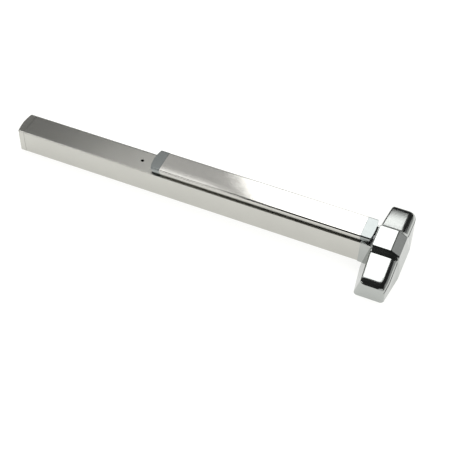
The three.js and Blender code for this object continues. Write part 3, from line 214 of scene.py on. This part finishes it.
def surface(name, colour, roughness, metallic, mottle, mottle_scale, grain=FINE_GRAIN):
    """A procedural finish: a base colour that drifts softly, and a grain in bump and roughness.

    grain is (scale, stretch along each axis, bump height, roughness spread).
    """
    material = bpy.data.materials.new(name)
    material.use_nodes = True
    tree = material.node_tree
    shader = tree.nodes["Principled BSDF"]
    shader.inputs["Metallic"].default_value = metallic
    drift = noise(tree, mottle_scale, (1.0, 1.0, 1.0), 4.0)
    ramp = tree.nodes.new("ShaderNodeMix")
    ramp.data_type = "RGBA"
    ramp.inputs[6].default_value = (*(c * (1.0 - mottle) for c in colour), 1.0)
    ramp.inputs[7].default_value = (*(min(1.0, c * (1.0 + mottle)) for c in colour), 1.0)
    tree.links.new(ranged(tree, drift, 0.0, 1.0), ramp.inputs[0])
    tree.links.new(ramp.outputs[2], shader.inputs["Base Color"])
    scale, stretch, height, spread = grain
    lines = noise(tree, scale, stretch, 3.0)
    tree.links.new(ranged(tree, lines, roughness - spread, roughness + spread), shader.inputs["Roughness"])
    bump = tree.nodes.new("ShaderNodeBump")
    bump.inputs["Strength"].default_value = 1.0
    bump.inputs["Distance"].default_value = height
    tree.links.new(lines, bump.inputs["Height"])
    tree.links.new(bump.outputs["Normal"], shader.inputs["Normal"])
    return material


ALONG_X = (0.006, 1.0, 1.0)
CAST_STRETCH = (0.03, 0.1, 1.0)


def finishes():
    """One procedural material for each slot of the record."""
    return {
        "satin_aluminium": surface(
            "satin_aluminium", (0.54, 0.535, 0.50), 0.25, 1.0, 0.02, 25.0,
            (2600.0, ALONG_X, 0.0000004, 0.012),
        ),
        "brushed_stainless": surface(
            "brushed_stainless", (0.60, 0.59, 0.555), 0.09, 1.0, 0.03, 120.0,
            (3000.0, ALONG_X, 0.000022, 0.03),
        ),
        "satin_chrome": surface(
            "satin_chrome", (0.43, 0.445, 0.43), 0.16, 1.0, 0.02, 30.0,
            (900.0, CAST_STRETCH, 0.000003, 0.02),
        ),
        "cap_grey": surface(
            "cap_grey", (0.30, 0.32, 0.315), 0.20, 1.0, 0.03, 60.0,
            (1200.0, (1.0, 1.0, 1.0), 0.000006, 0.04),
        ),
        "zinc_steel": surface(
            "zinc_steel", (0.60, 0.62, 0.64), 0.36, 1.0, 0.12, 90.0,
            (700.0, (1.0, 1.0, 1.0), 0.00003, 0.08),
        ),
        "dark_steel": surface(
            "dark_steel", (0.16, 0.16, 0.17), 0.38, 1.0, 0.15, 140.0,
            (900.0, (1.0, 1.0, 1.0), 0.00003, 0.08),
        ),
        "spring_steel": surface(
            "spring_steel", (0.45, 0.46, 0.47), 0.28, 1.0, 0.10, 200.0,
            (1500.0, (1.0, 1.0, 1.0), 0.00002, 0.06),
        ),
        "black_rubber": surface(
            "black_rubber", (0.025, 0.025, 0.027), 0.72, 0.0, 0.2, 150.0,
            (1600.0, (1.0, 1.0, 1.0), 0.00006, 0.08),
        ),
        "white_nylon": surface(
            "white_nylon", (0.80, 0.78, 0.72), 0.45, 0.0, 0.03, 80.0,
            (1100.0, (1.0, 1.0, 1.0), 0.00003, 0.06),
        ),
    }


# ---- Mesh helpers ----
SMOOTH_ANGLE = math.radians(34.0)
DISC_STEPS = 40


def finish_piece(piece, nodes, materials):
    """Gives a piece its body, slot, material and smooth shading, and lets it stand for its CAD nodes."""
    node = nodes[0]
    slot = SLOT_OF[node]
    piece.data.materials.clear()
    piece.data.materials.append(materials[slot])
    for polygon in piece.data.polygons:
        polygon.use_smooth = True
        polygon.material_index = 0
    if not piece.modifiers:
        mark_sharp(piece.data)
    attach(piece, BODY_OF[node])
    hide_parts(*nodes)


def mark_sharp(mesh):
    """Marks the edges that stay crisp once the faces are smooth."""
    bm = bmesh.new()
    bm.from_mesh(mesh)
    for edge in bm.edges:
        flat = len(edge.link_faces) == 2 and edge.calc_face_angle(0.0) < SMOOTH_ANGLE
        edge.smooth = flat
    bm.to_mesh(mesh)
    bm.free()


MERGE_DISTANCE = 1e-6
FLAT_ANGLE = math.radians(0.6)
BEVEL_SEGMENTS = 3


def bevelled_copy(node, width):
    """A copy of a CAD node with clean flat faces and rounded edges."""
    mesh = frame["nodes"][node].data.copy()
    mesh.name = f"{node}_finished"
    bm = bmesh.new()
    bm.from_mesh(mesh)
    bmesh.ops.remove_doubles(bm, verts=bm.verts, dist=MERGE_DISTANCE)
    bmesh.ops.dissolve_limit(bm, angle_limit=FLAT_ANGLE, verts=bm.verts, edges=bm.edges)
    bmesh.ops.recalc_face_normals(bm, faces=bm.faces)
    weights = bm.edges.layers.float.new("bevel_weight_edge")
    for edge in bm.edges:
        if len(edge.link_faces) == 2 and edge.calc_face_angle(0.0) >= SMOOTH_ANGLE:
            edge[weights] = 1.0
    bm.to_mesh(mesh)
    bm.free()
    piece = bpy.data.objects.new(mesh.name, mesh)
    SCENE.collection.objects.link(piece)
    bevel = piece.modifiers.new("edges", "BEVEL")
    bevel.width = width
    bevel.segments = BEVEL_SEGMENTS
    bevel.limit_method = "WEIGHT"
    bevel.use_clamp_overlap = True
    bevel.harden_normals = False
    normals = piece.modifiers.new("normals", "WEIGHTED_NORMAL")
    normals.keep_sharp = True
    return piece


def mesh_piece(name, vertices, faces):
    """An object from points and faces, with its normals turned outwards."""
    mesh = bpy.data.meshes.new(name)
    mesh.from_pydata(vertices, [], faces)
    bm = bmesh.new()
    bm.from_mesh(mesh)
    bmesh.ops.remove_doubles(bm, verts=bm.verts, dist=1e-7)
    bmesh.ops.recalc_face_normals(bm, faces=bm.faces)
    bm.to_mesh(mesh)
    bm.free()
    piece = bpy.data.objects.new(name, mesh)
    SCENE.collection.objects.link(piece)
    return piece


def loft(name, rings):
    """A closed mesh through closed rings of equal length, capped at both ends."""
    count = len(rings[0])
    vertices = [point for ring in rings for point in ring]
    faces = []
    for i in range(len(rings) - 1):
        for j in range(count):
            a, b = i * count + j, i * count + (j + 1) % count
            faces.append((a, b, b + count, a + count))
    faces.append(tuple(range(count)))
    faces.append(tuple(range((len(rings) - 1) * count, len(rings) * count)))
    return mesh_piece(name, vertices, faces)


def disc(centre_u, centre_v, radius):
    """Points round a circle, for a round cutter."""
    turns = (math.tau * i / DISC_STEPS for i in range(DISC_STEPS))
    return [(centre_u + radius * math.cos(turn), centre_v + radius * math.sin(turn)) for turn in turns]


def apply_booleans(piece, joined, removed):
    """Joins and cuts other meshes into a piece, then deletes them."""
    for operation, others in (("UNION", joined), ("DIFFERENCE", removed)):
        for other in others:
            modifier = piece.modifiers.new(operation.lower(), "BOOLEAN")
            modifier.operation = operation
            modifier.solver = "EXACT"
            modifier.object = other
    evaluated = piece.evaluated_get(bpy.context.evaluated_depsgraph_get())
    mesh = bpy.data.meshes.new_from_object(evaluated)
    piece.modifiers.clear()
    piece.data = mesh
    for other in [*joined, *removed]:
        bpy.data.objects.remove(other)


def arc(cx, cz, radius, start, end, steps):
    """Points on an arc, with its angles in degrees."""
    angles = (math.radians(start + (end - start) * i / steps) for i in range(steps + 1))
    return [(cx + radius * math.cos(a), cz + radius * math.sin(a)) for a in angles]


def smoothstep(t):
    """An S-curve from 0 to 1."""
    t = min(1.0, max(0.0, t))
    return t * t * (3.0 - 2.0 * t)


# ---- Push bar skin ----
SKIN_CROWN = 0.6 * MM
SKIN_THICKNESS = 0.8 * MM
SKIN_RADIUS = 3.5 * MM
CROWN_STEPS = 24


def skin_outline(half_width, top, bottom, inset):
    """The skin's section, from the right skirt's foot over the crowned front to the left one's."""
    radius = SKIN_RADIUS - inset
    side = half_width - inset
    flat = side - radius
    edge_top = top - SKIN_CROWN - inset
    crown = [
        (y, top - inset - SKIN_CROWN * (y / flat) ** 2)
        for y in (flat * (1.0 - 2.0 * i / CROWN_STEPS) for i in range(CROWN_STEPS + 1))
    ]
    return [
        (side, bottom),
        *arc(flat, edge_top - radius, radius, 0.0, 84.0, 7),
        *crown,
        *arc(-flat, edge_top - radius, radius, 96.0, 180.0, 7),
        (-side, bottom),
    ]


def touch_pad_skin():
    """The bent stainless sheet over the push bar's front, with a slight crown."""
    low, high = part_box("touch_pad_skin")
    outer = skin_outline(high.y, high.z, low.z, 0.0)
    inner = skin_outline(high.y, high.z, low.z, SKIN_THICKNESS)[::-1]
    section = outer + inner
    return loft("touch_pad_skin_brushed", [[(x, y, z) for y, z in section] for x in (low.x, high.x)])


# ---- Head cover, in millimetres from the head's centre ----
HEAD_FACE_LEFT = -26.5
HEAD_TIP_LEFT = -22.5
HEAD_FACE_RIGHT = 13.5
HEAD_BLOCK = 27.0
HEAD_STEP_END = 41.0
HEAD_TIP = 104.0
HEAD_TIP_RADIUS = 8.0
TIP_ROLL_START = 98.0
HEAD_FRONT = 60.0
WING_ROOT_HEIGHT = 50.0
WING_TIP_HEIGHT = 41.0
WING_CROWN = 0.6
WING_EDGE_RADIUS = 4.0
BLOCK_EDGE_RADIUS = 1.6
WING_DROP = 12.0
BLOCK_DROP = 10.0
HEAD_FOOT = 39.5
HEAD_FOOT_AT_TIP = 31.0
HEAD_SHOULDER = 31.0
SHOULDER_MARGIN = 2.0
SHOULDER_LEDGE = (0.9, 0.5)
HEAD_WALL = 3.0
FLANK_STEPS = 6
FLANK_BULGE = 1.1
FACE_STEPS = 10
BEND_STEPS = 18
SKIRT_STEPS = 5
END_DRAFT = 2.0 / 112.0 / 41.0
COLLAR_LEFT = -49.0
COLLAR_HALF_WIDTH = 30.1
COLLAR_TOP = 56.6
COLLAR_RADIUS = 2.5
COLLAR_END = [(0.0, 0.5), (0.15, 0.15), (0.5, 0.0)]
COLLAR_ROOT = HEAD_FACE_LEFT + 4.0
COLLAR_WINDOW = 25.0
CASE_CLEARANCE = 28.8
CASE_PASSAGE_TOP = 55.3
CASE_FRONT = 55.0
FILLET_CORNER_X = -37.0
FILLET_OVERLAP = 0.4
FILLET_BACKING = 3.0
# Height, lean towards the wing's flank and reach of the web
FILLET_LEVELS = [(0.0, 0.0, 7.0), (20.0, 3.9, 6.2), (34.0, 6.8, 4.6), (42.0, 9.0, 2.4), (45.0, 9.8, 1.2)]
COVER_SEAT_RADIUS = 4.3 * MM
COVER_SEAT_DEPTH = 1.65 * MM


def tip_turn(a):
    """How far the tip's rounding has pulled the surface in at distance a, in mm."""
    t = min(1.0, max(0.0, (a - HEAD_TIP) / HEAD_TIP_RADIUS))
    return HEAD_TIP_RADIUS * (1.0 - math.sqrt(1.0 - t * t))


def block_share(a):
    """1 on the raised middle block, 0 on the wings."""
    return 1.0 - smoothstep((a - HEAD_BLOCK) / (HEAD_STEP_END - HEAD_BLOCK))


def wing_share(a):
    """0 at a wing's root, 1 at its tip."""
    return min(1.0, max(0.0, (a - HEAD_STEP_END) / (HEAD_TIP - HEAD_STEP_END)))


def head_top(a):
    """Front height: the block, the step, the crowned wing and the rolled tip."""
    along = wing_share(a)
    wing = WING_ROOT_HEIGHT + (WING_TIP_HEIGHT - WING_ROOT_HEIGHT) * along
    wing += WING_CROWN * 4.0 * along * (1.0 - along)
    t = min(1.0, max(0.0, (a - TIP_ROLL_START) / (HEAD_TIP + HEAD_TIP_RADIUS - TIP_ROLL_START)))
    roll = HEAD_TIP_RADIUS * (1.0 - math.sqrt(1.0 - t * t))
    return wing + (HEAD_FRONT - WING_ROOT_HEIGHT) * block_share(a) - roll


def head_foot(a):
    """Half width of the cover where it meets the door."""
    return HEAD_FOOT + (HEAD_FOOT_AT_TIP - HEAD_FOOT) * wing_share(a) - tip_turn(a)


def edge_radius(a):
    """Radius of the face's left edge: crisp on the block, softer on the wings."""
    return WING_EDGE_RADIUS + (BLOCK_EDGE_RADIUS - WING_EDGE_RADIUS) * block_share(a)


def head_section(a, inset, foot_z):
    """(x, z) points from the left foot over the front to the right foot, in mm."""
    foot = head_foot(a)
    top = head_top(a) - inset
    turn = tip_turn(a)
    left = HEAD_FACE_LEFT + (HEAD_TIP_LEFT - HEAD_FACE_LEFT) * wing_share(a) + inset + turn
    edge = HEAD_FACE_RIGHT - inset / 2.0 - turn * 0.4
    shoulder = min(HEAD_SHOULDER, foot - SHOULDER_MARGIN) - inset
    share = block_share(a)
    drop = WING_DROP + (BLOCK_DROP - WING_DROP) * share
    radius = edge_radius(a)
    left_top = top - radius
    flank = []
    for i in range(FLANK_STEPS):
        t = i / FLANK_STEPS
        x = -foot + inset + (left + foot - inset) * t ** FLANK_BULGE
        flank.append((x, foot_z + (left_top - foot_z) * t))
    face_left = left + radius
    face = [(face_left + (edge - face_left) * i / FACE_STEPS, top) for i in range(1, FACE_STEPS)]
    return [
        *flank,
        *arc(left + radius, left_top, radius, 180.0, 90.0, 8),
        *face,
        *right_bend(edge, shoulder, top, drop, share),
        *right_skirt(shoulder, top - drop, foot - inset, foot_z),
    ]


def right_bend(edge, shoulder, top, drop, share):
    """From the face's right edge down to the shoulder: a quarter ellipse on a wing, a bevel on the block."""
    reach = shoulder - edge
    points = []
    for i in range(BEND_STEPS + 1):
        t = i / BEND_STEPS
        angle = math.pi / 2 * t
        wing = (edge + reach * math.sin(angle), top - drop * (1.0 - math.cos(angle)))
        bevel = (edge + reach * t, top - drop * t)
        points.append(tuple(w + (b - w) * share for w, b in zip(wing, bevel)))
    return points


def right_skirt(shoulder, shoulder_z, foot, foot_z):
    """A small ledge under the shoulder and the skirt below it."""
    start = shoulder + SHOULDER_LEDGE[0]
    top = shoulder_z - SHOULDER_LEDGE[1]
    return [
        (start + (foot - start) * i / SKIRT_STEPS, top + (foot_z - top) * i / SKIRT_STEPS)
        for i in range(SKIRT_STEPS + 1)
    ]


def head_stations(last):
    """Distances from the centre line where sections are drawn, close together where the cover bends."""
    block = [0.0, 9.0, 18.0, 24.0, HEAD_BLOCK - 0.6]
    step = [HEAD_BLOCK + (HEAD_STEP_END - HEAD_BLOCK) * i / 28 for i in range(29)]
    wing = [HEAD_STEP_END + i * (HEAD_TIP - HEAD_STEP_END) / 28 for i in range(1, 29)]
    tip = [HEAD_TIP + HEAD_TIP_RADIUS * math.sin(math.radians(7.5 * i)) for i in range(1, 13)]
    half = [a for a in block + step + wing + tip if a <= last + 1e-6]
    return [-a for a in half[:0:-1]] + half


def head_loft(name, centre_x, inset, foot_z, last):
    """The cover's outside, or its hollow when inset, with the two ends drafted inwards."""
    rings = []
    for y in head_stations(last):
        ring = [
            ((x * MM + centre_x), y * (1.0 - z * END_DRAFT) * MM, z * MM)
            for x, z in head_section(abs(y), inset, foot_z)
        ]
        rings.append(ring)
    return loft(name, rings)


def box_cutter(low, high):
    """A box between two corners, to cut with."""
    corners = [(x, y, z) for x in (low[0], high[0]) for y in (low[1], high[1]) for z in (low[2], high[2])]
    faces = [(0, 1, 3, 2), (4, 6, 7, 5), (0, 4, 5, 1), (2, 3, 7, 6), (0, 2, 6, 4), (1, 5, 7, 3)]
    return mesh_piece("cutter", corners, faces)


def collar(centre_x):
    """The sleeve that laps over the mechanism case, with a softened end."""
    def outline(shrink):
        half, top, radius = COLLAR_HALF_WIDTH - shrink, COLLAR_TOP - shrink, COLLAR_RADIUS
        return [
            (half, 0.0),
            *arc(half - radius, top - radius, radius, 0.0, 90.0, 8),
            *arc(radius - half, top - radius, radius, 90.0, 180.0, 8),
            (-half, 0.0),
        ]

    stations = [(COLLAR_LEFT + reach, shrink) for reach, shrink in COLLAR_END] + [(COLLAR_ROOT, 0.0)]
    rings = [
        [(centre_x + x * MM, y * MM, z * MM) for y, z in outline(shrink)]
        for x, shrink in stations
    ]
    return loft("collar", rings)


def collar_fillet(centre_x, side):
    """The concave web between the collar's side and a wing's flank."""
    corner_y = COLLAR_HALF_WIDTH - FILLET_OVERLAP
    rings = []
    for z, lean, reach in FILLET_LEVELS:
        x = FILLET_CORNER_X + lean
        curve = arc(x - reach, corner_y + reach, reach, 270.0, 360.0, 10)
        points = [*curve, (x + FILLET_BACKING, corner_y + reach), (x + FILLET_BACKING, corner_y)]
        rings.append([(centre_x + px * MM, side * py * MM, z * MM) for px, py in points])
    return loft("fillet", rings)


def cover_screw_seat(node):
    """A cutter for the counterbore round a cover screw's head, pointing out along the screw."""
    low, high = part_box(node)
    centre = (low + high) / 2
    ring = disc(centre.x, centre.z, COVER_SEAT_RADIUS)
    start, end = high.y - COVER_SEAT_DEPTH, high.y + 6.0 * MM
    return loft("seat", [[(x, y, z) for x, z in ring] for y in (start, end)])


def head_cover():
    """The die-cast cover: hollow, with the collar, its window, the case's passage and the screw seats."""
    centre_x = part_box("head_cover")[1].x - HEAD_FOOT * MM
    end = HEAD_TIP + HEAD_TIP_RADIUS
    shell = head_loft("head_cover_cast", centre_x, 0.0, 0.0, end)
    hollow = head_loft("hollow", centre_x, HEAD_WALL, -2.0, end - HEAD_WALL)
    passage = box_cutter(
        (centre_x + (COLLAR_LEFT - 1.0) * MM, -CASE_CLEARANCE * MM, -1.0 * MM),
        (centre_x + (HEAD_FACE_LEFT + 6.0) * MM, CASE_CLEARANCE * MM, CASE_PASSAGE_TOP * MM),
    )
    window = box_cutter(
        (centre_x + (COLLAR_LEFT - 1.0) * MM, -COLLAR_WINDOW * MM, CASE_FRONT * MM),
        (centre_x + (HEAD_FACE_LEFT - 1.0) * MM, COLLAR_WINDOW * MM, (COLLAR_TOP + 1.0) * MM),
    )
    additions = [collar(centre_x), collar_fillet(centre_x, 1.0), collar_fillet(centre_x, -1.0)]
    seats = [cover_screw_seat("cover_screw_1"), cover_screw_seat("cover_screw_2")]
    apply_booleans(shell, additions, [hollow, passage, window, *seats])
    return shell


# ---- Hinge-side end cap ----
END_CAP_BOW = 4.0 * MM
END_CAP_ROLL = 1.4 * MM
END_CAP_CORNER = 2.0 * MM
END_CAP_WALL = 3.5 * MM
END_CAP_TOP_WALL = 2.5 * MM
END_CAP_INSIDE = 7.0 * MM
LIP_WIDTH = 2.5 * MM
LIP_DROP = 0.4 * MM
LIP_RADIUS = 0.9 * MM
# Radius and depth of the counterbore and of the hole for each screw
END_SEAT_STEPS = [(4.3 * MM, 2.5 * MM), (2.3 * MM, 9.0 * MM)]


def end_cap_plan(low, high, side_inset, end_inset):
    """(x, y) points of the cap's plan at one height: a bowed end with rounded corners."""
    half = high.y - side_inset
    bow_radius = (high.y ** 2 + END_CAP_BOW ** 2) / (2.0 * END_CAP_BOW)
    steps = 24
    points = [(high.x, -half)]
    for i in range(steps + 1):
        y = half * math.sin(math.pi / 2 * (2.0 * i / steps - 1.0))
        bowed = low.x + end_inset + bow_radius - math.sqrt(bow_radius ** 2 - y * y)
        near = max(0.0, abs(y) - (half - END_CAP_CORNER)) / END_CAP_CORNER
        points.append((bowed + END_CAP_CORNER * (1.0 - math.sqrt(max(0.0, 1.0 - near * near))), y))
    points.append((high.x, half))
    return points


def end_cap():
    """The cast cap: a bowed hood with a rolled front edge, hollow inside."""
    low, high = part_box("end_cap")
    shoulder = high.z - LIP_DROP
    levels = [(low.z, 0.0, 0.0), (shoulder - END_CAP_ROLL, 0.0, 0.0)]
    for i in range(1, 11):
        angle = math.radians(9.0 * i)
        z = shoulder - END_CAP_ROLL * (1.0 - math.sin(angle))
        end_inset = END_CAP_ROLL * (1.0 - math.cos(angle))
        side = max(0.0, z - (shoulder - LIP_RADIUS)) / LIP_RADIUS
        levels.append((z, LIP_RADIUS * (1.0 - math.sqrt(max(0.0, 1.0 - side * side))), end_inset))
    levels.append((high.z, LIP_WIDTH, END_CAP_ROLL + 0.5 * MM))
    levels.append((high.z, LIP_WIDTH + 0.3 * MM, END_CAP_ROLL + 0.8 * MM))
    rings = [[(x, y, z) for x, y in end_cap_plan(low, high, side, end)] for z, side, end in levels]
    shell = loft("end_cap_cast", rings)
    inside = box_cutter(
        (low.x + END_CAP_INSIDE, low.y + END_CAP_WALL, low.z + END_CAP_TOP_WALL),
        (high.x + 1.0 * MM, high.y - END_CAP_WALL, high.z - END_CAP_TOP_WALL),
    )
    seats = []
    for node in ("end_cap_screw_1", "end_cap_screw_2"):
        near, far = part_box(node)
        centre = (near + far) / 2
        for radius, depth in END_SEAT_STEPS:
            ring = disc(centre.y, centre.z, radius)
            span = (low.x - 1.0 * MM, low.x + depth)
            seats.append(loft("seat", [[(x, y, z) for y, z in ring] for x in span]))
    apply_booleans(shell, [], [inside, *seats])
    return shell


# ---- Return springs ----
SPRING_WIRE = 0.7 * MM
SPRING_TURNS = 9
SPRING_STEPS = 28
WIRE_SIDES = 10
END_COIL_EASE = 0.045


def return_spring(node):
    """A closed-end coil spring that keeps the CAD spring's outside size."""
    low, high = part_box(node)
    centre = (low + high) / 2
    radius = (high.y - low.y) / 2 - SPRING_WIRE
    rings = []
    for i in range(SPRING_TURNS * SPRING_STEPS + 1):
        t = i / (SPRING_TURNS * SPRING_STEPS)
        ease = t + END_COIL_EASE * math.sin(2.0 * math.tau * t) / 2.0
        angle = math.tau * SPRING_TURNS * t
        z = low.z + SPRING_WIRE + (high.z - low.z - 2 * SPRING_WIRE) * ease
        ring = []
        for j in range(WIRE_SIDES):
            turn = math.tau * j / WIRE_SIDES
            reach = radius + SPRING_WIRE * math.cos(turn)
            ring.append((
                centre.x + reach * math.cos(angle),
                centre.y + reach * math.sin(angle),
                z + SPRING_WIRE * math.sin(turn),
            ))
        rings.append(ring)
    return loft(f"{node}_wire", rings)


# ---- Build ----
SCENE.view_settings.view_transform = "Standard"
add_camera()
add_world()
add_floor()
add_lights()
MATERIALS = finishes()

finish_piece(touch_pad_skin(), ["touch_pad_skin"], MATERIALS)
finish_piece(head_cover(), ["head_cover"], MATERIALS)
finish_piece(end_cap(), ["end_cap"], MATERIALS)
for spring_node in ("return_spring_left", "return_spring_right"):
    spring = return_spring(spring_node)
    finish_piece(spring, [spring_node], MATERIALS)
    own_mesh(spring)

BUILT = {"touch_pad_skin", "head_cover", "end_cap", "return_spring_left", "return_spring_right"}
USUAL_EDGE = 0.25 * MM
EDGE_WIDTH = {
    "pad_end_cap_left": 0.8 * MM,
    "pad_end_cap_right": 0.8 * MM,
    "cover_plate": 0.2 * MM,
}
for cad_node in frame["nodes"]:
    if cad_node not in BUILT:
        copy = bevelled_copy(cad_node, EDGE_WIDTH.get(cad_node, USUAL_EDGE))
        finish_piece(copy, [cad_node], MATERIALS)
